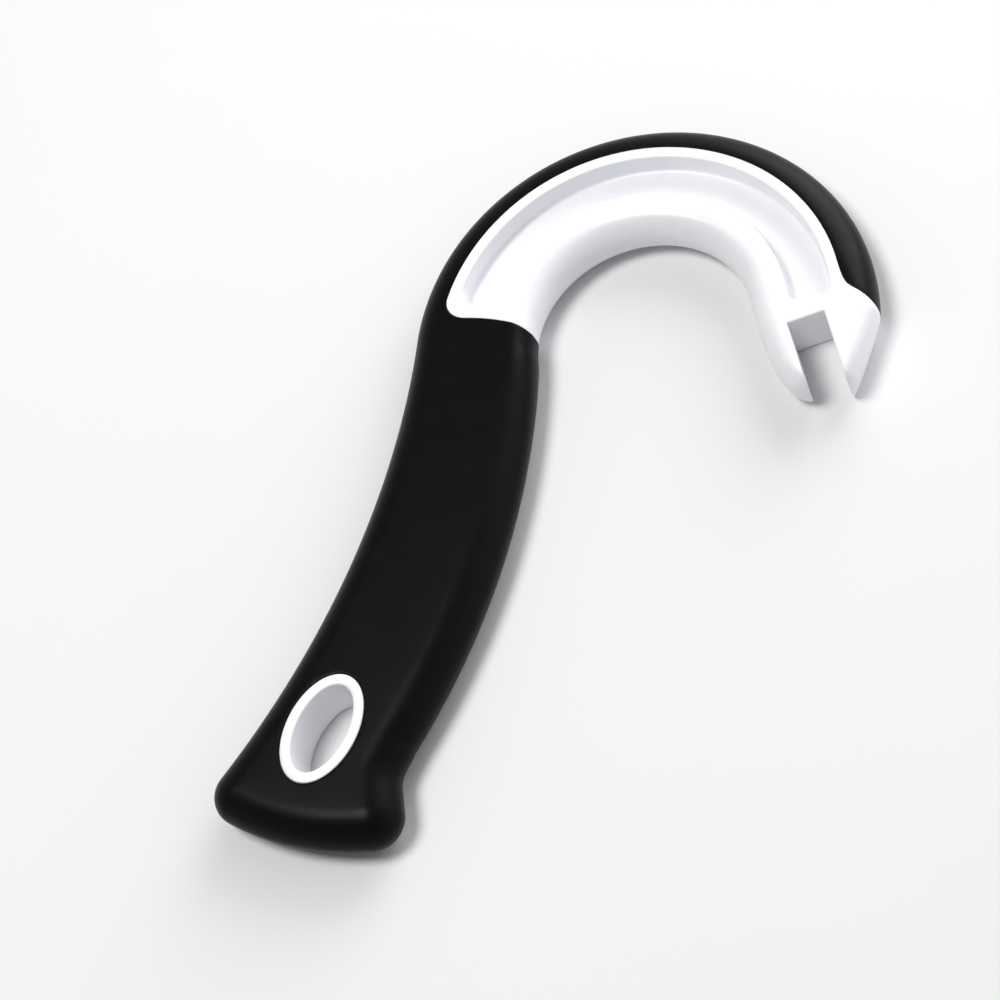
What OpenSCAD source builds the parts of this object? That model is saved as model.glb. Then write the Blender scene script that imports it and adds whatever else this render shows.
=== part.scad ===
// Ring-pull can opener: a J-shaped lever lying flat on its face.
//
// core - rigid white moulding: hook, slotted tip, hidden spine in the handle, hanging eye
// grip - soft black overmould: handle, butt, and the band round the outside of the hook
//
// The plan is drawn about the hook's centre, +Y towards the top of the hook, and place() then
// moves it so that the origin is under the middle of the object. Millimetres, +Z up.

/* [Body] */
// Thickness, the same for the hook and the handle
body_t = 10.6; // [9:0.1:14]
// How far the long edges round inwards from the outline
edge_round = 4; // [2:0.1:4.4]
// Distance from the hook's centre down to the butt's bottom edge
butt_drop = 110.2; // [108:0.2:114]

/* [Hook] */
// Radius of the opening inside the hook
throat_r = 20.2; // [20:0.1:21.2]
// Radius where the white rim meets the black band
rim_r = 37.4; // [36.8:0.1:38.2]
// Outer radius of the band
band_r = 43.2; // [42.6:0.1:44.2]
// Inner radius of the crescent pocket
pocket_r_in = 27.6; // [26.5:0.1:29]
// Outer radius of the crescent pocket
pocket_r_out = 35.2; // [33:0.1:35.4]
// Depth of the crescent pocket in each face
pocket_depth = 4.4; // [1:0.1:4.4]
// Angle at which the crescent pocket ends near the tip
pocket_tip_angle = 26; // [25:1:40]

/* [Tip] */
// Direction of the ring slot, from the hook's +X axis
slot_angle = -52; // [-54:1:-50]
// Width of the ring slot
slot_w = 6.8; // [5.5:0.1:7.4]

/* [Handle] */
// Width of the handle at its waist
waist_w = 27.8; // [27.6:0.2:30]
// Distance from the hook's centre down to where the left edge runs straight down
left_drop = 67.2; // [64:0.4:70]
// The same for the right edge
right_drop = 69.9; // [66.9:0.3:70.2]
// Radius of the right edge, down to the neck
right_r = 144.6; // [142.5:0.3:156]
// Radius that blends the right edge into the opening inside the hook
blend_r = 20.4; // [12:0.4:24]
// Radius of the lower left edge, which flares towards the butt
flare_r = 163; // [140:1:180]
// Corner radius of the butt on the left
butt_corner_r = 5.3; // [4.5:0.1:6]
// Radius of the butt's bottom edge
butt_r = 51; // [48:1:60]
// Radius of the ear at the right of the butt
ear_r = 6; // [5.5:0.1:6.8]

/* [Hanging eye] */
// Length of the eye's hole, along the handle
eye_l = 16.8; // [10:0.1:18]
// Width of the eye's hole
eye_w = 9.7; // [6:0.1:11]
// Wall of the white ring round the eye
eye_wall = 2; // [1.2:0.1:2.6]

/* [Spine] */
// Thickness of the hidden spine inside the handle
spine_t = 5; // [3:0.1:7]
// Cover of soft material between the spine and the outline
spine_cover = 5.4; // [4.4:0.1:6.5]
// Number of windows through the spine, which the soft material fills
window_count = 4; // [2:1:4]

/* [Hidden] */
$fn = 96;

mid_z = body_t / 2;
cut = 1; // how far a cutter runs past a face
round_steps = 5; // rings between the outline and the flat face, on each side
far = 60; // beyond the object on every side

waist_x = -18; // middle of the waist
grip_edge_drop = 3.3; // from the hook's centre to the grip's upper edge
grip_edge_a = 8; // angle at which that edge rises to the right
grip_corner_r = 4.5; // corner of that edge at the rim
throat_c = [0.2, 0.2]; // the opening's own centre
pocket_end_y = -5.2; // where the pocket ends above the grip
pocket_corner_r = 3;
pocket_to_a = 200; // past that end
band_end_a = 21.5; // angle where the band ends on the outline
rim_end_a = 36.5; // angle where the band's end leaves the rim
band_lead = [4.8, -6.5]; // first control point of that end, along the rim
prong_start_a = 38; // angle where the throat runs into the inner prong
slot_end = [29.3, 9.75]; // middle of the slot's end wall
slot_l = 30; // runs out past the tips
tip_round = 1.5; // edge rounding at the very tips

butt_x = -26.1; // lowest point of the butt's bottom edge
ear_x = -0.95; // rightmost point of the ear
ear_a = 25; // angle on the ear where the neck ends
neck_y = -86; // where the right edge turns into the neck
butt_gap_a = 2; // from the middle of the butt's edge to the end of either edge

eye_pos = [-20.5, -89.5];
spine_top_y = -6; // the spine starts below the pocket
window_top_y = -20; // the first window, and how far apart they are
window_pitch = 16;
window_r = 3.2;
window_l = 10;
rail_r = 40.4; // outer radius of the rail under the band
rail_t = 4;
rail_from_a = 34;
rail_to_a = 196;

// ---- plan geometry: an edge is a list of [point, edge rounding], and each of its stretches leaves
// out its own first point, which ends the stretch before ----
function polar(c, r, a) = c + r * [cos(a), sin(a)];
function heading(v) = atan2(v[1], v[0]);
function arc(c, r, a0, a1, n) = [for (i = [1:n]) [polar(c, r, a0 + (a1 - a0) * i / n), edge_round]];
// cubic curve with the control points p, its edge rounding running from e0 to e1
function curve(p, n, e0 = edge_round, e1 = edge_round) = [for (i = [1:n]) let (t = i / n, s = 1 - t)
    [s * s * s * p[0] + 3 * s * s * t * p[1] + 3 * s * t * t * p[2] + t * t * t * p[3], e0 + (e1 - e0) * t]];
function plan(edge) = [for (p = edge) p[0]];
// where two circles meet, on the right of the way from c1 to c2
function meet(c1, r1, c2, r2) = let (v = c2 - c1, d = norm(v), a = (d * d + r1 * r1 - r2 * r2) / (2 * d),
    h = sqrt(r1 * r1 - a * a)) c1 + (v * a + [v[1], -v[0]] * h) / d;
// angle on the hook's circle of radius r where it comes down to y on the left
function angle_at(y, r) = 180 + asin(-y / r);
// point given along and across the slot, from the middle of its end wall
function in_slot(u, n) = slot_end + [u * cos(slot_angle) - n * sin(slot_angle),
    u * sin(slot_angle) + n * cos(slot_angle)];

left_x = waist_x - waist_w / 2;
right_x = waist_x + waist_w / 2;
// the left edge passes the waist and touches the band's circle
left_r = (left_x * left_x + left_drop * left_drop - band_r * band_r) / (2 * (band_r + left_x));
left_c = [left_x - left_r, -left_drop];
right_c = [right_x - right_r, -right_drop];
blend_c = meet(right_c, right_r - blend_r, throat_c, throat_r + blend_r);
flare_c = [left_x - flare_r, -left_drop];
butt_c = [butt_x, butt_r - butt_drop];
corner_c = meet(flare_c, flare_r + butt_corner_r, butt_c, butt_r - butt_corner_r);
ear_c = [ear_x - ear_r, butt_c[1] - sqrt(pow(butt_r - ear_r, 2) - pow(ear_x - ear_r - butt_x, 2))];
neck_a = asin((neck_y + right_drop) / right_r);
flare_a = heading(corner_c - flare_c);
corner_a = heading(corner_c - butt_c);
butt_ear_a = heading(ear_c - butt_c);
butt_mid_a = (corner_a + butt_ear_a) / 2;
left_meet_a = 360 + heading(left_c);
blend_from_a = 360 + heading(blend_c - throat_c);
blend_to_a = heading(blend_c - right_c);

outer_tip = in_slot(14.3, 3.7);
inner_tip = in_slot(12.8, -3.6);
band_tip = polar([0, 0], band_r, band_end_a);
throat_tip = polar(throat_c, throat_r, prong_start_a);

// The two edges of the J from the tip to the butt, with as many points on one as on the other. They
// stop a little short of each other at the middle of the butt.
outer_edge = concat(
    [[outer_tip, tip_round]],
    curve([outer_tip, in_slot(11.5, 6.4), in_slot(6, 9.9), band_tip], 9, tip_round, edge_round),
    arc([0, 0], band_r, band_end_a, left_meet_a, 36),
    arc(left_c, left_r, heading(-left_c), 0, 11),
    arc(flare_c, flare_r, 0, flare_a, 6),
    arc(corner_c, butt_corner_r, flare_a + 180, corner_a + 360, 6),
    arc(butt_c, butt_r, corner_a, butt_mid_a - butt_gap_a, 4)
);
inner_edge = concat(
    [[inner_tip, tip_round]],
    curve([inner_tip, in_slot(11.2, -8.4), in_slot(3, -9.2), throat_tip], 9, tip_round, edge_round),
    arc(throat_c, throat_r, prong_start_a, blend_from_a, 35),
    arc(blend_c, blend_r, blend_from_a - 180, blend_to_a, 3),
    arc(right_c, right_r, blend_to_a, neck_a, 9),
    curve([polar(right_c, right_r, neck_a), [-5.2, -93.3], [-5.4, -90.8], polar(ear_c, ear_r, ear_a)], 6),
    arc(ear_c, ear_r, ear_a, butt_ear_a, 7),
    arc(butt_c, butt_r, butt_ear_a, butt_mid_a + butt_gap_a, 3)
);
assert(len(outer_edge) == len(inner_edge));

// the spine's outline: the handle's edges moved in by the soft cover
spine_top_a = angle_at(spine_top_y, band_r - spine_cover);
spine_line = concat(
    [[polar([0, 0], band_r - spine_cover, spine_top_a), 0]],
    arc([0, 0], band_r - spine_cover, spine_top_a, left_meet_a, 2),
    arc(left_c, left_r + spine_cover, heading(-left_c), 0, 8),
    arc(flare_c, flare_r + spine_cover, 0, flare_a + 1, 6),
    arc(butt_c, butt_r - spine_cover, corner_a + 3, butt_ear_a - 2, 5),
    arc(right_c, right_r - spine_cover, neck_a, blend_to_a, 9),
    arc([0, 0], throat_r + spine_cover, blend_from_a, angle_at(spine_top_y, throat_r + spine_cover), 3)
);
// where the band gives way to the white tip
rim_end = polar([0, 0], rim_r, rim_end_a);
band_end = concat([[rim_end, 0]], curve([rim_end, rim_end + band_lead, [33.3, 19.1], [41.7, 15.9]], 10));

xs = [for (p = concat(outer_edge, inner_edge)) p[0][0]];
ys = [for (p = concat(outer_edge, inner_edge)) p[0][1]];
middle = [min(xs) + max(xs), min(ys) + max(ys)] / 2;

// ---- shapes that both pieces share ----
// The J as a plate of body_t. Its edge rounds over as an ellipse, inwards from the outline, and its
// flat faces are strips of quads from edge to edge.
module j_plate() {
    n = len(outer_edge);
    line = concat(outer_edge, [for (i = [n - 1:-1:0]) inner_edge[i]]);
    count = 2 * n;
    rings = 2 * round_steps + 1;
    inward = [for (i = [0:count - 1])
        let (v = line[(i + 1) % count][0] - line[(i + count - 1) % count][0]) [-v[1], v[0]] / norm(v)];
    vertices = [for (k = [0:rings - 1]) let (a = 90 * (k / round_steps - 1)) for (i = [0:count - 1])
        let (p = line[i][0] + inward[i] * line[i][1] * (1 - cos(a))) [p[0], p[1], mid_z * (1 + sin(a))]];
    walls = [for (k = [0:rings - 2]) for (i = [0:count - 1]) let (j = (i + 1) % count)
        [k * count + i, (k + 1) * count + i, (k + 1) * count + j, k * count + j]];
    under = [for (i = [0:n - 2]) [i, i + 1, count - 2 - i, count - 1 - i]];
    top = (rings - 1) * count;
    over = [for (i = [0:n - 2]) [top + count - 1 - i, top + count - 2 - i, top + i + 1, top + i]];
    polyhedron(vertices, concat(walls, under, over));
}

// A prism of height h about the middle of the thickness
module slab(h) translate([0, 0, mid_z - h / 2]) linear_extrude(h) children();
module through() slab(body_t + 2 * cut) children();

module ring(r_in, r_out) difference() {
    circle(r_out);
    circle(r_in);
}

// A sector of angles about the hook's centre
module sector(a0, a1) polygon([[0, 0], for (i = [0:4]) polar([0, 0], far, a0 + (a1 - a0) * i / 4)]);

// What lies above the line y, its left corner inside the circle big_r rounded with radius r
module above(y, big_r, r) {
    c = [-sqrt(pow(big_r - r, 2) - pow(y + r, 2)), y + r];
    difference() {
        translate([-far, y]) square([2 * far, far - y]);
        difference() {
            translate(c - [far, far]) square(far);
            translate(c) circle(r);
        }
    }
}

// The white that shows: the hook inside its rim and above the grip, and the tip past the band's end
module bare_plan() {
    intersection() {
        circle(rim_r);
        rotate(grip_edge_a) above(-grip_edge_drop, rim_r, grip_corner_r);
    }
    polygon(concat(plan(band_end), [[far, -far], [throat_r, -far], [throat_r, throat_r]]));
}

module pocket_plan() intersection() {
    ring(pocket_r_in, pocket_r_out);
    above(pocket_end_y, pocket_r_out, pocket_corner_r);
    sector(pocket_tip_angle, pocket_to_a);
}

module slot_plan() translate(slot_end) rotate(slot_angle)
    translate([0, -slot_w / 2]) square([slot_l, slot_w]);

module oval(l, w) polygon([for (i = [0:47]) [w / 2 * cos(7.5 * i), l / 2 * sin(7.5 * i)]]);
module eye_rim() translate(eye_pos) oval(eye_l + 2 * eye_wall, eye_w + 2 * eye_wall);
module eye_hole() translate(eye_pos) oval(eye_l, eye_w);

// Middle of the handle at height y
function edge_x(c, r, y) = c[0] + sqrt(r * r - pow(y - c[1], 2));
function handle_mid(y) = [(edge_x(left_c, left_r, y) + edge_x(right_c, right_r, y)) / 2, y];

// One window of the spine, a slot along the handle
module window(y) {
    along = handle_mid(y + window_l / 2) - handle_mid(y - window_l / 2);
    translate(handle_mid(y)) rotate(heading(along)) {
        square([window_l - 2 * window_r, 2 * window_r], center = true);
        for (s = [-1, 1]) translate([s * (window_l / 2 - window_r), 0]) circle(window_r);
    }
}

// The part of the core that the grip covers: the spine with its windows, and the rail in the band
module covered_core() {
    slab(spine_t) difference() {
        polygon(plan(spine_line));
        for (i = [0:window_count - 1]) window(window_top_y - i * window_pitch);
    }
    slab(rail_t) intersection() {
        ring(rim_r - cut, rail_r);
        sector(rail_from_a, rail_to_a);
    }
}

module place() translate([-middle[0], -middle[1], 0]) children();

// ---- the two pieces ----
module core() color("white") place() difference() {
    union() {
        difference() {
            intersection() {
                j_plate();
                through() bare_plan();
            }
            for (z = [body_t - pocket_depth, -cut]) translate([0, 0, z])
                linear_extrude(pocket_depth + cut) pocket_plan();
            through() slot_plan();
        }
        covered_core();
        slab(body_t) eye_rim();
    }
    through() eye_hole();
}

module grip() color("#1b1b1e") place() difference() {
    j_plate();
    through() bare_plan();
    through() eye_rim();
    covered_core();
}

core();
grip();
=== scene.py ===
"""The looks of a ring-pull can opener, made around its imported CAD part.

The object is two mouldings: the white core (hook, slotted tip, hanging eye, hidden spine) and the
black overmould (handle, butt, and the band round the hook). Each is made here as one closed mesh.
A solid is a field, a function that is negative inside it, built from the same plan as the CAD part,
and contour() turns the field into quads whose rows run along the J.

Plan lengths are in millimetres about the hook's centre, +Y to the top of the hook, angles in
degrees. to_row() turns them into metres in the row frame.
"""
import math

import bpy
import numpy as np
from mathutils import Matrix, Vector


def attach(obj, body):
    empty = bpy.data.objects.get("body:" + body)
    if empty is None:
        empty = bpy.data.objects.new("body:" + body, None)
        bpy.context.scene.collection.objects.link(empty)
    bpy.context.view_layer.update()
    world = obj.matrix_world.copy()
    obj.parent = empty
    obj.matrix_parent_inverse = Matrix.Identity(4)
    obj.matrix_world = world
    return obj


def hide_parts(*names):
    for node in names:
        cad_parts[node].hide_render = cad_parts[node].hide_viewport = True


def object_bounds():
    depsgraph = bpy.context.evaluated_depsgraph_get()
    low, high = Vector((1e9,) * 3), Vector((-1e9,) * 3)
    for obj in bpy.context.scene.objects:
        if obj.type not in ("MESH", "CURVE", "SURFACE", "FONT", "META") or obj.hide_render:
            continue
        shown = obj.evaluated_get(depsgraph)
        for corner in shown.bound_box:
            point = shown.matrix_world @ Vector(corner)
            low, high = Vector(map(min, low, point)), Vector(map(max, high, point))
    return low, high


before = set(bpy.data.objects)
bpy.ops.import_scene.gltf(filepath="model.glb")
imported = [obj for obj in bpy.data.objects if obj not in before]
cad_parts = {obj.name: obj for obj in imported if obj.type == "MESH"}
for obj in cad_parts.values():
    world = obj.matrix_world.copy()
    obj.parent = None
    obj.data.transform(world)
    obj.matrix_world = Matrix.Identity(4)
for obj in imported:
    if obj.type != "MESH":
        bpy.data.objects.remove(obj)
cad_box = [[float(v) for v in corner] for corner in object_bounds()]

# ---- sizes of the object ----
BAND_R = 43.2             # outer radius of the black band
RIM_R = 37.4              # where the white rim meets the band
THROAT_R = 20.2           # opening inside the hook
THROAT_C = (0.2, 0.2)     # and its own centre
POCKET_R_IN = 27.6        # the crescent pocket in each face
POCKET_R_OUT = 35.2
POCKET_DEPTH = 4.4
POCKET_END_Y = -5.2       # its end above the grip
POCKET_CORNER_R = 3.0
POCKET_TIP_A = 26.0       # its end near the tip
POCKET_TIP_R = 1.3
HARD_ROUND = 4.0          # how far the white's long edges round inwards
SOFT_ROUND = 6.0          # and the overmould's
SOFT_FROM_Y = (-6.0, -30.0)   # from one to the other down the handle's right edge
LEFT_WAIST = (-31.9, -67.2)   # where each edge of the handle is straight up
RIGHT_WAIST = (-4.1, -69.9)
RIGHT_R = 144.6           # right edge of the handle
BLEND_R = 20.4            # from that edge into the throat
FLARE_R = 163.0           # lower left edge
BUTT_CORNER_R = 5.3
BUTT_R = 51.0             # bottom edge of the butt
BUTT_LOW = (-26.1, -110.19)
EAR_R = 6.0
EAR_X = -0.95             # rightmost point of the ear
EAR_A = 25.0
NECK_Y = -86.0
NECK_LEAD = ((-5.2, -93.3), (-5.4, -90.8))
SLOT_END = (29.3, 9.75)
SLOT_A = -52.0            # direction of the ring slot
SLOT_HALF_W = 3.4
OUTER_TIP = (14.3, 3.7)   # tips of the two prongs, along and across the slot
INNER_TIP = (12.8, -3.6)
OUTER_PRONG = ((11.5, 6.4), (6, 9.9))   # control points of each prong's curve from its tip
INNER_PRONG = ((11.2, -8.4), (3, -9.2))
OUTER_TIP_ROUND = 1.5     # the edge rounding at each tip
INNER_TIP_ROUND = 2.3
OUTER_ROUND_FROM = -12.0  # where along the slot the rounding starts to shrink
INNER_ROUND_FROM = 2.0
SIDE_R = 32.0             # the line between the J's two edges round the hook
TIP_SIDE_Y = -12.0        # the tip is all above this
BAND_END_A = 21.5         # where the band ends on the outline
RIM_END_A = 36.5          # where its end leaves the rim
BAND_LEAD = (4.8, -6.5)   # the first control point of that end, along the rim
BAND_OUT = ((33.3, 19.1), (41.7, 15.9))
PRONG_A = 38.0            # where the throat runs into the inner prong
GRIP_EDGE_C = (-20.6, -44.4)   # the grip's upper edge is a flat arc about this point
GRIP_EDGE_R = 38.0
GRIP_CORNER_R = 4.5
EYE = (-20.5, -89.5)
EYE_HOLE = (4.85, 8.4)    # half axes
EYE_RIM = (6.85, 10.4)
SPINE_HALF_T = 2.5        # the hidden spine in the handle, its windows and the rail in the band
SPINE_COVER = 5.4
SPINE_TOP_Y = -6.0
WINDOWS = [(-20.0 - 16.0 * i) for i in range(4)]
WINDOW_R = 3.2
WINDOW_HALF_L = 5.0
RAIL = (36.4, 40.4, 2.0)  # inner and outer radius, half thickness
RAIL_A = (34.0, 196.0)

# ---- finish of the mouldings ----
CRISP = 0.3               # rounding of the pocket's, slot's and eye's edges
FLOOR_FILLET = 0.6        # where the pocket's walls meet its floor
DRAFT = 0.03              # lean of the pocket's walls
PROUD = 0.08              # how far the soft overmould stands above the white
LIP = 0.22                # rounding of the overmould's edge against the white
GAP = 0.03                # between the two mouldings, out of sight
CROWN = 0.25              # how far the handle's faces fall towards their edges
CROWN_W = 11.0            # over this width
CROWN_Y = (-10.0, -34.0)  # from none to all of it down the handle
EYE_SINK = 0.05           # the eye's rim below the CAD's face

MM = 1000                 # to a metre
MID_Z = (cad_box[0][2] + cad_box[1][2]) / 2 * MM   # middle of the thickness, in millimetres
HOOK_C = (cad_box[0][0] * MM + BAND_R, cad_box[1][1] * MM - BAND_R)

# ---- how far each stretch of the plan is looked for ----
ARC_OVERLAP = 0.2         # degrees past each end of an arc
CURVE_REACH = 14.0        # beyond a curve's control points
CURVE_STARTS = 13         # places along a curve where the search for the nearest point may start
CURVE_STEPS = 5           # and its rounds
LEAST_BEND = 0.3          # keeps a round from leaping where the curve hardly bends
FAR = 50.0                # a distance beyond everything
RIM_SIDE = -9.0           # stands for the distance to the band's end out of that reach
DEGREE_L = 0.6            # length of one degree at the rail, a little short


# ---- plan geometry ----
def unit(a):
    return np.array([math.cos(math.radians(a)), math.sin(math.radians(a))])


def polar(c, r, a):
    return np.asarray(c) + r * unit(a)


def heading(v):
    return math.degrees(math.atan2(v[1], v[0]))


def in_slot(u, n):
    """The point given along and across the slot, from the middle of its end wall."""
    return np.asarray(SLOT_END) + u * unit(SLOT_A) + n * unit(SLOT_A + 90)


def meet(c1, r1, c2, r2):
    """Where two circles meet, on the right of the way from c1 to c2."""
    v = c2 - c1
    d = np.linalg.norm(v)
    a = (d * d + r1 * r1 - r2 * r2) / (2 * d)
    h = math.sqrt(r1 * r1 - a * a)
    return c1 + (v * a + np.array([v[1], -v[0]]) * h) / d


ORIGIN = np.zeros(2)
# the left edge passes its waist and touches the band's circle
LEFT_R = (np.dot(LEFT_WAIST, LEFT_WAIST) - BAND_R ** 2) / (2 * (BAND_R + LEFT_WAIST[0]))
LEFT_C = np.array(LEFT_WAIST) - [LEFT_R, 0]
RIGHT_C = np.array(RIGHT_WAIST) - [RIGHT_R, 0]
BLEND_C = meet(RIGHT_C, RIGHT_R - BLEND_R, np.array(THROAT_C), THROAT_R + BLEND_R)
FLARE_C = np.array(LEFT_WAIST) - [FLARE_R, 0]
BUTT_C = np.array([BUTT_LOW[0], BUTT_LOW[1] + BUTT_R])
CORNER_C = meet(FLARE_C, FLARE_R + BUTT_CORNER_R, BUTT_C, BUTT_R - BUTT_CORNER_R)
EAR_CX = EAR_X - EAR_R
EAR_C = np.array([EAR_CX, BUTT_C[1] - math.sqrt((BUTT_R - EAR_R) ** 2 - (EAR_CX - BUTT_C[0]) ** 2)])
NECK_A = math.degrees(math.asin((NECK_Y - RIGHT_C[1]) / RIGHT_R))
FLARE_A = heading(CORNER_C - FLARE_C)
CORNER_A = heading(CORNER_C - BUTT_C)
BUTT_EAR_A = heading(EAR_C - BUTT_C)
LEFT_MEET_A = 360 + heading(LEFT_C)
BLEND_FROM_A = 360 + heading(BLEND_C - THROAT_C)
BLEND_TO_A = heading(BLEND_C - RIGHT_C)


def arc(c, r, a0, a1, side):
    """A field of an arc: the distance into the material, which is inside its circle for side 1."""
    middle = (a0 + a1) / 2
    half = abs(a1 - a0) / 2 + ARC_OVERLAP

    def depth(x, y):
        dx = x - c[0]
        dy = y - c[1]
        off = (np.degrees(np.arctan2(dy, dx)) - middle + 180) % 360 - 180
        return np.where(np.abs(off) <= half, side * (r - np.hypot(dx, dy)), np.inf)
    return depth


def curve(points, side):
    """The same for a cubic curve, whose material is on the left for side 1."""
    a, b, c, d = (np.asarray(p, float) for p in points)
    k1, k2, k3 = 3 * (b - a), 3 * (c - 2 * b + a), d - 3 * c + 3 * b - a
    low = np.min([a, b, c, d], 0) - CURVE_REACH
    high = np.max([a, b, c, d], 0) + CURVE_REACH

    def place(t):
        return [a[i] + t * (k1[i] + t * (k2[i] + t * k3[i])) for i in (0, 1)]

    def near(x, y):
        best = np.full(x.shape, np.inf)
        t = np.zeros(x.shape)
        for start in np.linspace(0, 1, CURVE_STARTS):
            px, py = place(start)
            gap = (px - x) ** 2 + (py - y) ** 2
            t = np.where(gap < best, start, t)
            best = np.minimum(gap, best)
        for _ in range(CURVE_STEPS):
            px, py = place(t)
            vx, vy = (k1[i] + t * (2 * k2[i] + 3 * t * k3[i]) for i in (0, 1))
            wx, wy = (2 * k2[i] + 6 * t * k3[i] for i in (0, 1))
            slope = (px - x) * vx + (py - y) * vy
            bend = vx * vx + vy * vy + (px - x) * wx + (py - y) * wy
            t = np.clip(t - slope / np.maximum(bend, LEAST_BEND * (vx * vx + vy * vy)), 0, 1)
        px, py = place(t)
        vx, vy = (k1[i] + t * (2 * k2[i] + 3 * t * k3[i]) for i in (0, 1))
        left = np.where(vx * (y - py) - vy * (x - px) >= 0, side, -side)
        return left * np.hypot(px - x, py - y)

    def depth(x, y):
        out = np.full(x.shape, np.inf)
        close = (x > low[0]) & (x < high[0]) & (y > low[1]) & (y < high[1])
        out[close] = near(x[close], y[close])
        return out
    return depth


OUTLINE = [
    curve([in_slot(*p) for p in (OUTER_TIP, *OUTER_PRONG)] + [polar(ORIGIN, BAND_R, BAND_END_A)], 1),
    arc(ORIGIN, BAND_R, BAND_END_A, LEFT_MEET_A, 1),
    arc(LEFT_C, LEFT_R, heading(-LEFT_C), 0, -1),
    arc(FLARE_C, FLARE_R, 0, FLARE_A, -1),
    arc(CORNER_C, BUTT_CORNER_R, FLARE_A - 180, CORNER_A, 1),
    arc(BUTT_C, BUTT_R, CORNER_A, BUTT_EAR_A, 1),
    arc(EAR_C, EAR_R, BUTT_EAR_A, EAR_A, 1),
    curve([polar(RIGHT_C, RIGHT_R, NECK_A), *NECK_LEAD, polar(EAR_C, EAR_R, EAR_A)], -1),
    arc(RIGHT_C, RIGHT_R, NECK_A, BLEND_TO_A, 1),
    arc(BLEND_C, BLEND_R, BLEND_TO_A, BLEND_FROM_A - 180, 1),
    arc(THROAT_C, THROAT_R, PRONG_A, BLEND_FROM_A, -1),
    curve([in_slot(*p) for p in (INNER_TIP, *INNER_PRONG)] + [polar(THROAT_C, THROAT_R, PRONG_A)], -1),
]
RIM_END = polar(ORIGIN, RIM_R, RIM_END_A)
BAND_END = curve([RIM_END, RIM_END + BAND_LEAD, *BAND_OUT], 1)


# ---- fields: distances in millimetres, negative inside ----
def both(a, b, k):
    """Inside a and b, the edge between them rounded with radius k."""
    return np.minimum(np.maximum(a, b), -k) + np.hypot(np.maximum(a + k, 0), np.maximum(b + k, 0))


def ramp(x, lo, hi):
    t = np.clip((x - lo) / (hi - lo), 0, 1)
    return t * t * (3 - 2 * t)


def oval(x, y, half):
    """Distance from the oval about the eye's middle."""
    dx = (x - EYE[0]) / half[0]
    dy = (y - EYE[1]) / half[1]
    k = np.hypot(dx, dy)
    slope = np.hypot(dx / half[0], dy / half[1])
    return k * (k - 1) / np.maximum(slope, 1e-6)


def window(x, y, middle_y):
    """A slot along the handle, in the middle between its edges."""
    ends = []
    for end_y in (middle_y - WINDOW_HALF_L, middle_y + WINDOW_HALF_L):
        left = LEFT_C[0] + math.sqrt(LEFT_R ** 2 - (end_y - LEFT_C[1]) ** 2)
        right = RIGHT_C[0] + math.sqrt(RIGHT_R ** 2 - (end_y - RIGHT_C[1]) ** 2)
        ends.append(np.array([(left + right) / 2, end_y]))
    along = (ends[1] - ends[0]) / np.linalg.norm(ends[1] - ends[0])
    middle = (ends[0] + ends[1]) / 2
    u = (x - middle[0]) * along[0] + (y - middle[1]) * along[1]
    n = (x - middle[0]) * along[1] - (y - middle[1]) * along[0]
    return np.hypot(np.maximum(np.abs(u) - WINDOW_HALF_L + WINDOW_R, 0), n) - WINDOW_R


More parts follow.
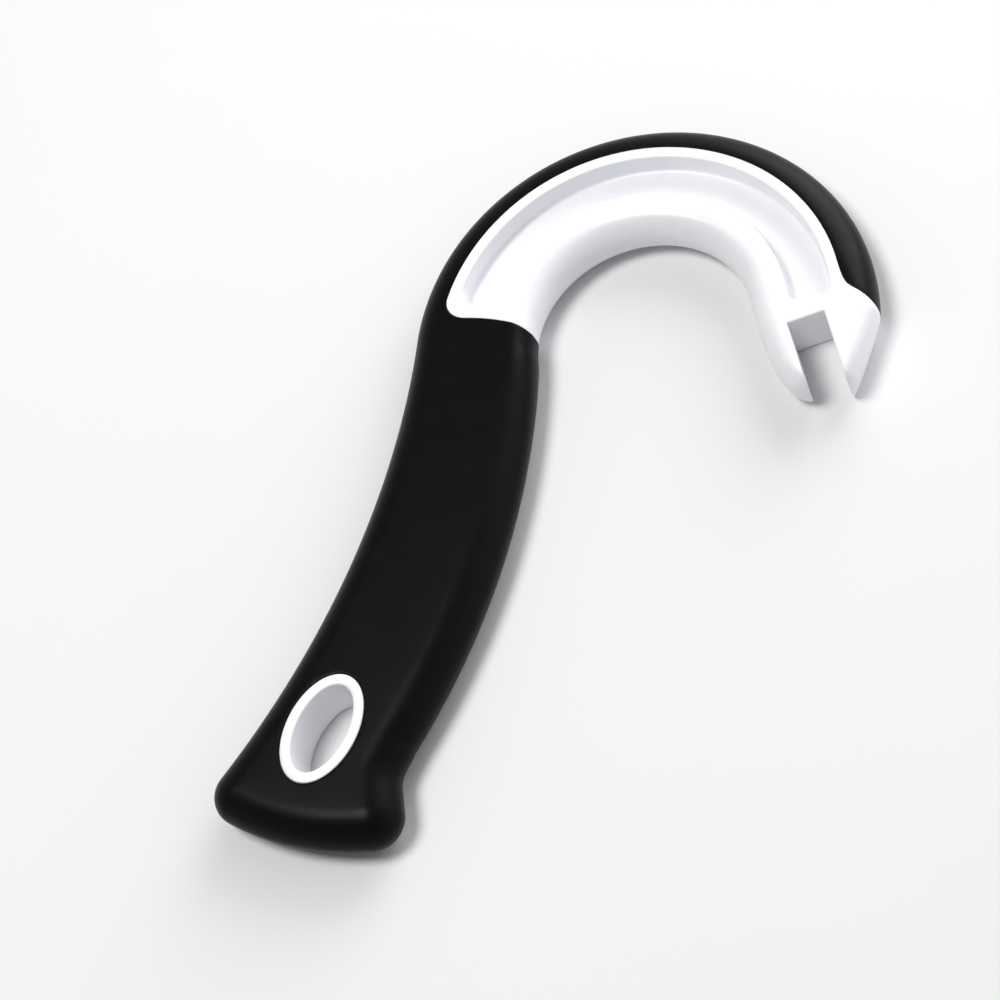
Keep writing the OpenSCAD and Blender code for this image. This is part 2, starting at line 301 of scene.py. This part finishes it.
def plan_fields(x, y):
    """Every distance that depends on the plan alone."""
    depth = np.full(x.shape, np.inf)
    for stretch in OUTLINE:
        d = stretch(x, y)
        depth = np.where(np.abs(d) < np.abs(depth), d, depth)
    dx, dy = x - SLOT_END[0], y - SLOT_END[1]
    u = dx * unit(SLOT_A)[0] + dy * unit(SLOT_A)[1]
    n = dx * unit(SLOT_A + 90)[0] + dy * unit(SLOT_A + 90)[1]
    radius = np.hypot(x, y)
    angle = np.degrees(np.arctan2(y, x)) % 360

    # the white that shows: inside the rim and above the grip's edge, then past the band's end
    edge = GRIP_EDGE_R - np.hypot(x - GRIP_EDGE_C[0], y - GRIP_EDGE_C[1])
    hook = both(radius - RIM_R, edge, GRIP_CORNER_R)
    past_band = BAND_END(x, y)
    past_band[np.isinf(past_band)] = RIM_SIDE
    bare = np.where((angle < RIM_END_A) | (angle > 270), past_band, hook)

    ring = np.maximum(POCKET_R_IN - radius, radius - POCKET_R_OUT)
    pocket = both(ring, POCKET_END_Y - y, POCKET_CORNER_R)
    tip_end = x * unit(POCKET_TIP_A - 90)[0] + y * unit(POCKET_TIP_A - 90)[1]
    pocket = both(pocket, tip_end, POCKET_TIP_R)

    closing = in_slot(*INNER_TIP) - in_slot(*OUTER_TIP)
    closing /= np.linalg.norm(closing)
    past_tips = (y - in_slot(*OUTER_TIP)[1]) * closing[0] - (x - in_slot(*OUTER_TIP)[0]) * closing[1]
    # the edge rounding: soft outside and down the handle, hard in the throat, small at the tips
    outside = np.where((x > 0) & (u > 0), n > 0, radius > SIDE_R)
    soft = np.where(outside | (y < SOFT_FROM_Y[1]), 1, ramp(-y, -SOFT_FROM_Y[0], -SOFT_FROM_Y[1]))
    edge_round = HARD_ROUND + (SOFT_ROUND - HARD_ROUND) * soft
    tip_round = np.where(n > 0, OUTER_TIP_ROUND, INNER_TIP_ROUND)
    start = np.where(n > 0, OUTER_ROUND_FROM, INNER_ROUND_FROM)
    near_tip = np.where(y > TIP_SIDE_Y, np.clip((u - start) / (OUTER_TIP[0] - start), 0, 1), 0)
    edge_round = edge_round + (tip_round - edge_round) * near_tip

    windows = window(x, y, WINDOWS[0])
    for y_window in WINDOWS[1:]:
        windows = np.minimum(windows, window(x, y, y_window))
    crown = CROWN * ramp(-y, -CROWN_Y[0], -CROWN_Y[1]) * np.clip(1 - depth / CROWN_W, 0, 1) ** 2
    return {
        "depth": depth,
        "past_tips": np.where(x > 0, past_tips, -FAR),
        "edge_round": edge_round,
        "crown": np.where(y < 0, crown, 0),
        "bare": bare,
        "pocket": pocket,
        "slot": np.maximum(np.abs(n) - SLOT_HALF_W, -u),
        "eye_hole": oval(x, y, EYE_HOLE),
        "eye_rim": oval(x, y, EYE_RIM),
        "spine": np.maximum(SPINE_COVER - depth, y - SPINE_TOP_Y),
        "windows": windows,
        "rail": np.maximum(np.maximum(RAIL[0] - radius, radius - RAIL[1]),
                           np.maximum(RAIL_A[0] - angle, angle - RAIL_A[1]) * DEGREE_L),
    }


def plate(p, z, inset):
    """The whole J: flat faces whose long edges round over as an ellipse."""
    half = MID_Z - inset - p["crown"]
    out = np.maximum(1 - (p["depth"] - inset) / p["edge_round"], 0)
    end = np.maximum(1 + p["past_tips"] / OUTER_TIP_ROUND, 0)
    return np.sqrt(half ** 2 * (out ** 2 + end ** 2) + (z - MID_Z) ** 2) - half


def covered(p, z):
    """The part of the core that the grip hides: the spine with its windows, and the rail."""
    up = np.abs(z - MID_Z)
    spine = np.maximum(np.maximum(p["spine"], up - SPINE_HALF_T), -p["windows"])
    return np.minimum(spine, np.maximum(p["rail"], up - RAIL[2]))


def core_field(p, z):
    up = np.abs(z - MID_Z)
    pocket_floor = MID_Z - POCKET_DEPTH
    shape = plate(p, z, PROUD)
    pocket = both(p["pocket"] - DRAFT * (up - pocket_floor), pocket_floor - up, FLOOR_FILLET)
    shape = both(shape, -pocket, CRISP)
    shape = both(shape, -p["slot"], CRISP)
    shape = np.maximum(shape, p["bare"])
    eye = both(p["eye_rim"], up - MID_Z + EYE_SINK, CRISP)
    shape = np.minimum(np.minimum(shape, covered(p, z)), eye)
    return both(shape, -p["eye_hole"], CRISP)


def grip_field(p, z):
    shape = both(plate(p, z, 0), GAP - p["bare"], LIP)
    shape = both(shape, GAP - p["eye_rim"], LIP)
    return np.maximum(shape, GAP - covered(p, z))


# ---- meshing ----
REF_R = 32.0              # radius at which distances along the J are measured
TIP_L = 25.6              # how far the grid runs on past the hook at the tip
HOOK_L = math.radians(LEFT_MEET_A - PRONG_A) * REF_R
HANDLE_R = np.linalg.norm(LEFT_C) - REF_R
HANDLE_L = 105.5          # and down the handle
GRADE = 0.4               # how fast the spacing of grid lines may grow
PROBE = 0.004             # how far off along each axis a slope is measured
CROSSING_STEPS = 3        # rounds that find where a grid line crosses the surface
CROSSING_MARGIN = 0.02    # the least share of a stretch that a round cuts off
SMOOTH = 0.985            # length of a cell's mean normal above which it holds no edge
TETHER = 0.01             # how strongly a vertex is held to the middle of its cell's crossings
LEASH = 1.2               # and how far it may leave it, against the furthest crossing
MIN_SLOPE = 0.2           # the least squared slope that the last moves trust
MAX_STEP = 0.1            # and the furthest that one of them goes
LAST_MOVES = 2
SHARP_A = 38              # edges sharper than this aren't smoothed over


def spaced(lo, hi, step, fine):
    """Coordinates from lo to hi, a step apart, closer together about each (centre, half width, step)."""
    x = np.linspace(lo, hi, 20001)
    h = np.full_like(x, step)
    for centre, half, small in fine:
        h = np.minimum(h, small + GRADE * np.maximum(np.abs(x - centre) - half, 0))
    count = np.concatenate([[0], np.cumsum(np.diff(x) * (1 / h[1:] + 1 / h[:-1]) / 2)])
    return np.interp(np.linspace(0, count[-1], int(math.ceil(count[-1])) + 1), count, x)


def warp(r, s):
    """The plan point at radius r and distance s along the J: straight at the tip, about the hook's
    centre round the hook, and about the left edge's centre down the handle."""
    across, along = unit(PRONG_A), unit(PRONG_A - 90)
    tip = [r * across[i] - s * along[i] for i in (0, 1)]
    a = np.radians(PRONG_A) + np.clip(s, 0, HOOK_L) / REF_R
    hook = [r * np.cos(a), r * np.sin(a)]
    b = np.radians(heading(-LEFT_C)) - (s - HOOK_L) / HANDLE_R
    rho = np.linalg.norm(LEFT_C) - r
    handle = [LEFT_C[0] + rho * np.cos(b), LEFT_C[1] + rho * np.sin(b)]
    return [np.where(s < 0, tip[i], np.where(s > HOOK_L, handle[i], hook[i])) for i in (0, 1)]


def gradient(field, points):
    """Slope of the field at each point, from the corners of a small tetrahedron."""
    total = np.zeros_like(points)
    for corner in ((1, -1, -1), (-1, -1, 1), (-1, 1, -1), (1, 1, 1)):
        way = np.array(corner, float)
        total += field(points + PROBE * way)[:, None] * way
    return total / (4 * PROBE)


def crossings(field, values, places, axis):
    """Grid edges along an axis that the surface crosses: their lower corner, point, normal and sense."""
    count = values.shape[axis]
    low = np.take(values, range(count - 1), axis)
    high = np.take(values, range(1, count), axis)
    index = np.argwhere((low < 0) != (high < 0))
    step = np.zeros(3, int)
    step[axis] = 1
    a, b = places[tuple(index.T)], places[tuple((index + step).T)]
    fa, fb = values[tuple(index.T)], values[tuple((index + step).T)]
    rising = fa < 0
    t0, t1 = np.zeros(len(index)), np.ones(len(index))
    for _ in range(CROSSING_STEPS):
        t = t0 + (t1 - t0) * np.clip(fa / (fa - fb), CROSSING_MARGIN, 1 - CROSSING_MARGIN)
        f = field(a + t[:, None] * (b - a))
        before = (f < 0) == rising
        t0, fa = np.where(before, t, t0), np.where(before, f, fa)
        t1, fb = np.where(before, t1, t), np.where(before, fb, f)
    t = t0 + (t1 - t0) * fa / (fa - fb)
    point = a + t[:, None] * (b - a)
    normal = gradient(field, point)
    normal /= np.maximum(np.linalg.norm(normal, axis=1), 1e-9)[:, None]
    return index, point, normal, rising


def contour(solid, radii, alongs, heights):
    """Vertices and quads of the surface of a solid, by dual contouring on the J's own grid."""
    def field(points):
        return solid(plan_fields(points[:, 0], points[:, 1]), points[:, 2])

    r, s = np.meshgrid(radii, alongs, indexing="ij")
    x, y = warp(r, s)
    plan = {name: f[:, :, None] for name, f in plan_fields(x, y).items()}
    values = solid(plan, heights[None, None, :])
    shape = values.shape
    places = np.stack([np.broadcast_to(c[:, :, None], shape) for c in (x, y)] +
                      [np.broadcast_to(heights[None, None, :], shape)], -1)
    cells, points, normals = [], [], []
    for axis in range(3):
        index, point, normal, rising = crossings(field, values, places, axis)
        p, q = [k for k in range(3) if k != axis]
        around = []
        for dp, dq in ((-1, -1), (0, -1), (0, 0), (-1, 0)):
            cell = index.copy()
            cell[:, p] += dp
            cell[:, q] += dq
            around.append(np.ravel_multi_index(tuple(cell.T), shape))
        around = np.stack(around, 1)
        forward = rising if axis != 1 else ~rising
        around[~forward] = around[~forward][:, ::-1]
        cells.append(around)
        points.append(point)
        normals.append(normal)
    cells, points, normals = (np.concatenate(v) for v in (cells, points, normals))
    owner, corner = np.unique(cells.ravel(), return_inverse=True)
    corner = corner.reshape(cells.shape)
    return settle(field, corner, points, normals, len(owner)), corner


def settle(field, corner, points, normals, count):
    """One vertex per cell: in a smooth one the middle of the crossings, and where the surface bends
    sharply the point nearest to all the planes through them. Then it is moved onto the surface."""
    flat = corner.ravel()
    points = np.repeat(points, 4, 0)
    normals = np.repeat(normals, 4, 0)

    def total(weights):
        return np.bincount(flat, weights, count)

    hits = total(None)
    centre = np.stack([total(points[:, i]) for i in range(3)], 1) / hits[:, None]
    offset = ((points - centre[flat]) * normals).sum(1)
    pull = np.stack([total(normals[:, i] * offset) for i in range(3)], 1)
    matrix = np.empty((count, 3, 3))
    for i in range(3):
        for j in range(3):
            matrix[:, i, j] = total(normals[:, i] * normals[:, j])
    matrix += TETHER * hits[:, None, None] * np.eye(3)
    move = np.linalg.solve(matrix, pull[:, :, None])[:, :, 0]
    agreement = np.linalg.norm([total(normals[:, i]) for i in range(3)], axis=0) / hits
    move[agreement > SMOOTH] = 0
    reach = np.zeros(count)
    np.maximum.at(reach, flat, np.linalg.norm(points - centre[flat], axis=1))
    length = np.linalg.norm(move, axis=1)
    move *= np.minimum(1, LEASH * reach / np.maximum(length, 1e-9))[:, None]
    vertices = centre + move
    for _ in range(LAST_MOVES):
        value = field(vertices)
        slope = gradient(field, vertices)
        step = value / np.maximum((slope ** 2).sum(1), MIN_SLOPE)
        vertices -= np.clip(step, -MAX_STEP, MAX_STEP)[:, None] * slope
    return vertices


def to_row(points):
    """Plan millimetres to metres in the row frame."""
    return (points + [HOOK_C[0], HOOK_C[1], 0]) / MM


def build(name, solid, radii, alongs, heights):
    vertices, quads = contour(solid, radii, alongs, heights)
    mesh = bpy.data.meshes.new(name)
    mesh.vertices.add(len(vertices))
    mesh.vertices.foreach_set("co", to_row(vertices).ravel().astype(np.float32))
    mesh.loops.add(quads.size)
    mesh.loops.foreach_set("vertex_index", quads.ravel().astype(np.int32))
    mesh.polygons.add(len(quads))
    mesh.polygons.foreach_set("loop_start", np.arange(0, quads.size, 4, dtype=np.int32))
    mesh.polygons.foreach_set("loop_total", np.full(len(quads), 4, dtype=np.int32))
    mesh.update(calc_edges=True)
    mesh.validate()
    mesh.polygons.foreach_set("use_smooth", np.ones(len(mesh.polygons), bool))
    mesh.set_sharp_from_angle(angle=math.radians(SHARP_A))
    piece = bpy.data.objects.new(name, mesh)
    bpy.context.scene.collection.objects.link(piece)
    return piece


# ---- grids: lines across the J, along it and through its thickness ----
GRID_R = (8.1, 44.6)      # innermost and outermost line
GRID_Z = 0.35             # the last line, beyond each face
STEP_R = 0.6              # spacing where the surface is plain
STEP_ALONG = 0.85
STEP_Z = 0.55
CORE_FLOOR_STEP = 0.14    # at the pockets' floors, which only the core has
GRIP_FLOOR_STEP = 0.5
EDGE_STEP = 0.13          # spacing at crisp edges, within this much of them
EDGE_HALF = 0.3
WALL_HALF = 0.35          # a little more at the pocket's walls, which lean
FACE_STEP = 0.12          # at the two faces
TURN_STEP = 0.32          # where the outline turns: the tip, the grip's upper edge and the eye
TIP_TURN = (-6.0, 8.0)    # middle and half length of the first two
GRIP_TURN = (HOOK_L - 2.0, 5.0)


def radii():
    fine = [(r, WALL_HALF, EDGE_STEP) for r in (POCKET_R_IN, POCKET_R_OUT, RIM_R)]
    middle = np.dot(SLOT_END, unit(PRONG_A))
    fine += [(middle + n, EDGE_HALF, EDGE_STEP) for n in (-SLOT_HALF_W, SLOT_HALF_W)]
    return spaced(*GRID_R, STEP_R, fine)


def alongs():
    slot_end = -np.dot(SLOT_END, unit(SLOT_A))
    eye = HOOK_L + HANDLE_R * math.radians(heading(-LEFT_C) - heading(np.asarray(EYE) - LEFT_C))
    fine = [(slot_end, EDGE_HALF, EDGE_STEP), (*TIP_TURN, TURN_STEP), (*GRIP_TURN, TURN_STEP),
            (eye, EYE_RIM[1], TURN_STEP)]
    return spaced(-TIP_L, HOOK_L + HANDLE_L, STEP_ALONG, fine)


def heights(floor_step):
    """Through the thickness, close at both faces and, for the core, at the pockets' floors."""
    fine = [(z, EDGE_HALF, FACE_STEP) for z in (0.0, 2 * MID_Z)]
    fine += [(z, EDGE_HALF, floor_step) for z in (POCKET_DEPTH, 2 * MID_Z - POCKET_DEPTH)]
    return spaced(-GRID_Z, 2 * MID_Z + GRID_Z, STEP_Z, fine)


# ---- materials: each colour is a darker and a lighter tone ----
WHITE_TONES = ((0.86, 0.865, 0.90), (0.90, 0.90, 0.925))
WHITE_ROUGHNESS = (0.28, 0.34)
BLACK_TONES = ((0.0030, 0.0030, 0.0040), (0.0040, 0.0040, 0.0052))
BLACK_ROUGHNESS = (0.33, 0.38)
FLOOR_TONES = ((0.80, 0.80, 0.80), (0.815, 0.815, 0.815))


def new_material(name):
    material = bpy.data.materials.new(name)
    material.use_nodes = True
    nodes = material.node_tree.nodes
    shader = nodes["Principled BSDF"]
    place = nodes.new("ShaderNodeTexCoord").outputs["Object"]
    return material, nodes, material.node_tree.links, shader, place


def noise(nodes, links, place, size_mm, detail=2.0, roughness=0.5):
    """Noise whose lumps are about size_mm across."""
    node = nodes.new("ShaderNodeTexNoise")
    node.inputs["Scale"].default_value = MM / size_mm
    node.inputs["Detail"].default_value = detail
    node.inputs["Roughness"].default_value = roughness
    links.new(place, node.inputs["Vector"])
    return node.outputs["Fac"]


def spread(nodes, links, value, low, high, lo_in=0.3, hi_in=0.7):
    """The value stretched from lo_in..hi_in to low..high."""
    node = nodes.new("ShaderNodeMapRange")
    node.inputs["From Min"].default_value = lo_in
    node.inputs["From Max"].default_value = hi_in
    node.inputs["To Min"].default_value = low
    node.inputs["To Max"].default_value = high
    links.new(value, node.inputs["Value"])
    return node.outputs["Result"]


def blend_colours(nodes, links, fac, dark, light):
    node = nodes.new("ShaderNodeMix")
    node.data_type = "RGBA"
    node.inputs["A"].default_value = (*dark, 1)
    node.inputs["B"].default_value = (*light, 1)
    links.new(fac, node.inputs["Factor"])
    return node.outputs["Result"]


def bump(nodes, links, height, depth_mm, strength, before=None):
    node = nodes.new("ShaderNodeBump")
    node.inputs["Strength"].default_value = strength
    node.inputs["Distance"].default_value = depth_mm / MM
    links.new(height, node.inputs["Height"])
    if before:
        links.new(before, node.inputs["Normal"])
    return node.outputs["Normal"]


def white_plastic():
    """Semi-gloss white moulding: faint clouding and a fine polished-mould texture."""
    material, nodes, links, shader, place = new_material("white_plastic")
    cloud = noise(nodes, links, place, 14, 3)
    tone = blend_colours(nodes, links, spread(nodes, links, cloud, 0, 1), *WHITE_TONES)
    links.new(tone, shader.inputs["Base Color"])
    smudge = noise(nodes, links, place, 7, 2)
    links.new(spread(nodes, links, smudge, *WHITE_ROUGHNESS, 0.1, 0.9), shader.inputs["Roughness"])
    grain = noise(nodes, links, place, 0.35, 2)
    links.new(bump(nodes, links, grain, 0.004, 0.35), shader.inputs["Normal"])
    shader.inputs["Subsurface Weight"].default_value = 0.12
    shader.inputs["Subsurface Radius"].default_value = (1.0, 0.9, 0.8)
    shader.inputs["Subsurface Scale"].default_value = 0.0012
    shader.inputs["IOR"].default_value = 1.5
    return material


def black_rubber():
    """Matt soft-touch elastomer: fine spark-eroded grain, faintly patchy sheen."""
    material, nodes, links, shader, place = new_material("black_rubber")
    cloud = noise(nodes, links, place, 11, 4, 0.6)
    tone = blend_colours(nodes, links, spread(nodes, links, cloud, 0, 1), *BLACK_TONES)
    links.new(tone, shader.inputs["Base Color"])
    patch = noise(nodes, links, place, 3.5, 4, 0.6)
    links.new(spread(nodes, links, patch, *BLACK_ROUGHNESS), shader.inputs["Roughness"])
    grain = noise(nodes, links, place, 0.28, 3, 0.6)
    lump = noise(nodes, links, place, 4, 2)
    first = bump(nodes, links, grain, 0.012, 0.4)
    links.new(bump(nodes, links, lump, 0.02, 0.2, first), shader.inputs["Normal"])
    shader.inputs["Specular IOR Level"].default_value = 0.08
    return material


def paper():
    """The plain pale floor."""
    material, nodes, links, shader, place = new_material("pale_floor")
    cloud = noise(nodes, links, place, 60, 2)
    links.new(blend_colours(nodes, links, cloud, *FLOOR_TONES), shader.inputs["Base Color"])
    shader.inputs["Roughness"].default_value = 0.7
    shader.inputs["Specular IOR Level"].default_value = 0.2
    return material


# ---- the two pieces ----
def make_core():
    core = build("core_moulding", core_field, radii(), alongs(), heights(CORE_FLOOR_STEP))
    core.data.materials.append(white_plastic())
    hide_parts("core")
    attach(core, "root")


def make_grip():
    grip = build("grip_overmould", grip_field, radii(), alongs(), heights(GRIP_FLOOR_STEP))
    grip.data.materials.append(black_rubber())
    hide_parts("grip")
    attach(grip, "root")


# ---- stage, in metres ----
FLOOR_HALF = 3.0
FLOOR_GAP = 0.00002       # between the floor and the object
CAMERA_PLACE = (0.1822, -0.1374, 0.3865)
CAMERA_TARGET = (-0.0131, -0.0028, 0.0)
CAMERA_ROLL = -33.5
LENS_MM = 90
SENSOR_MM = 36
# each lamp: its name, place, diameter, watts and colour
LAMPS = [
    ("key", (-0.223, -0.131, 0.966), 0.4, 6.6, (1.0, 0.99, 0.965)),
    ("side", (0.045, 0.54, 0.24), 0.5, 2.3, (1.0, 1.0, 0.99)),
]
WALLS = 0.42              # strength of the light from all round
WALL_COLOUR = (0.96, 0.98, 1.04, 1)
# each patch: its middle, the angles from there where it fades out and is full, and its strength
WORLD_PATCHES = [
    ((0, 0, 1), 62, 42, -0.38),
    ((0.34, 0.94, 0.15), 75, 30, 0.7),
]


def make_floor():
    mesh = bpy.data.meshes.new("floor")
    z = cad_box[0][2] - FLOOR_GAP
    corners = [(x * FLOOR_HALF, y * FLOOR_HALF, z) for x, y in ((-1, -1), (1, -1), (1, 1), (-1, 1))]
    mesh.from_pydata(corners, [], [(0, 1, 2, 3)])
    floor = bpy.data.objects.new("floor", mesh)
    bpy.context.scene.collection.objects.link(floor)
    mesh.materials.append(paper())


def make_camera():
    """Looks down at the lying object from beyond the tip, turned so that the handle leans."""
    camera = bpy.data.objects.new("camera", bpy.data.cameras.new("camera"))
    bpy.context.scene.collection.objects.link(camera)
    camera.data.lens = LENS_MM
    camera.data.sensor_width = SENSOR_MM
    place = Vector(CAMERA_PLACE)
    aim = (Vector(CAMERA_TARGET) - place).to_track_quat("-Z", "Y").to_matrix().to_4x4()
    roll = Matrix.Rotation(math.radians(CAMERA_ROLL), 4, "Z")
    camera.matrix_world = Matrix.Translation(place) @ aim @ roll
    bpy.context.scene.camera = camera


def area_light(name, place, size, power, colour):
    """A round lamp that points at the origin."""
    light = bpy.data.objects.new(name, bpy.data.lights.new(name, "AREA"))
    bpy.context.scene.collection.objects.link(light)
    light.data.shape = "DISK"
    light.data.size = size
    light.data.energy = power
    light.data.color = colour
    light.location = Vector(place)
    light.rotation_euler = (-Vector(place)).to_track_quat("-Z", "Y").to_euler()


def make_world():
    """A studio lit from the sides: pale walls, a soft box beyond the hook's right, a dark ceiling."""
    world = bpy.data.worlds.new("studio")
    bpy.context.scene.world = world
    world.use_nodes = True
    nodes, links = world.node_tree.nodes, world.node_tree.links
    direction = nodes.new("ShaderNodeTexCoord").outputs["Generated"]
    light = None
    for middle, wide, narrow, strength in WORLD_PATCHES:
        nearness = nodes.new("ShaderNodeVectorMath")
        nearness.operation = "DOT_PRODUCT"
        links.new(direction, nearness.inputs[0])
        nearness.inputs[1].default_value = Vector(middle).normalized()
        patch = nodes.new("ShaderNodeMapRange")
        patch.interpolation_type = "SMOOTHSTEP"
        patch.inputs["From Min"].default_value = math.cos(math.radians(wide))
        patch.inputs["From Max"].default_value = math.cos(math.radians(narrow))
        patch.inputs["To Min"].default_value = 0
        patch.inputs["To Max"].default_value = strength
        links.new(nearness.outputs["Value"], patch.inputs["Value"])
        total = nodes.new("ShaderNodeMath")
        total.operation = "ADD"
        total.inputs[1].default_value = WALLS
        links.new(patch.outputs["Result"], total.inputs[0])
        if light:
            links.new(light, total.inputs[1])
        light = total.outputs["Value"]
    links.new(light, nodes["Background"].inputs["Strength"])
    nodes["Background"].inputs["Color"].default_value = WALL_COLOUR


def make_lights():
    for lamp in LAMPS:
        area_light(*lamp)
    make_world()


bpy.context.scene.view_settings.view_transform = "Standard"
make_camera()
make_core()
make_grip()
make_floor()
make_lights()
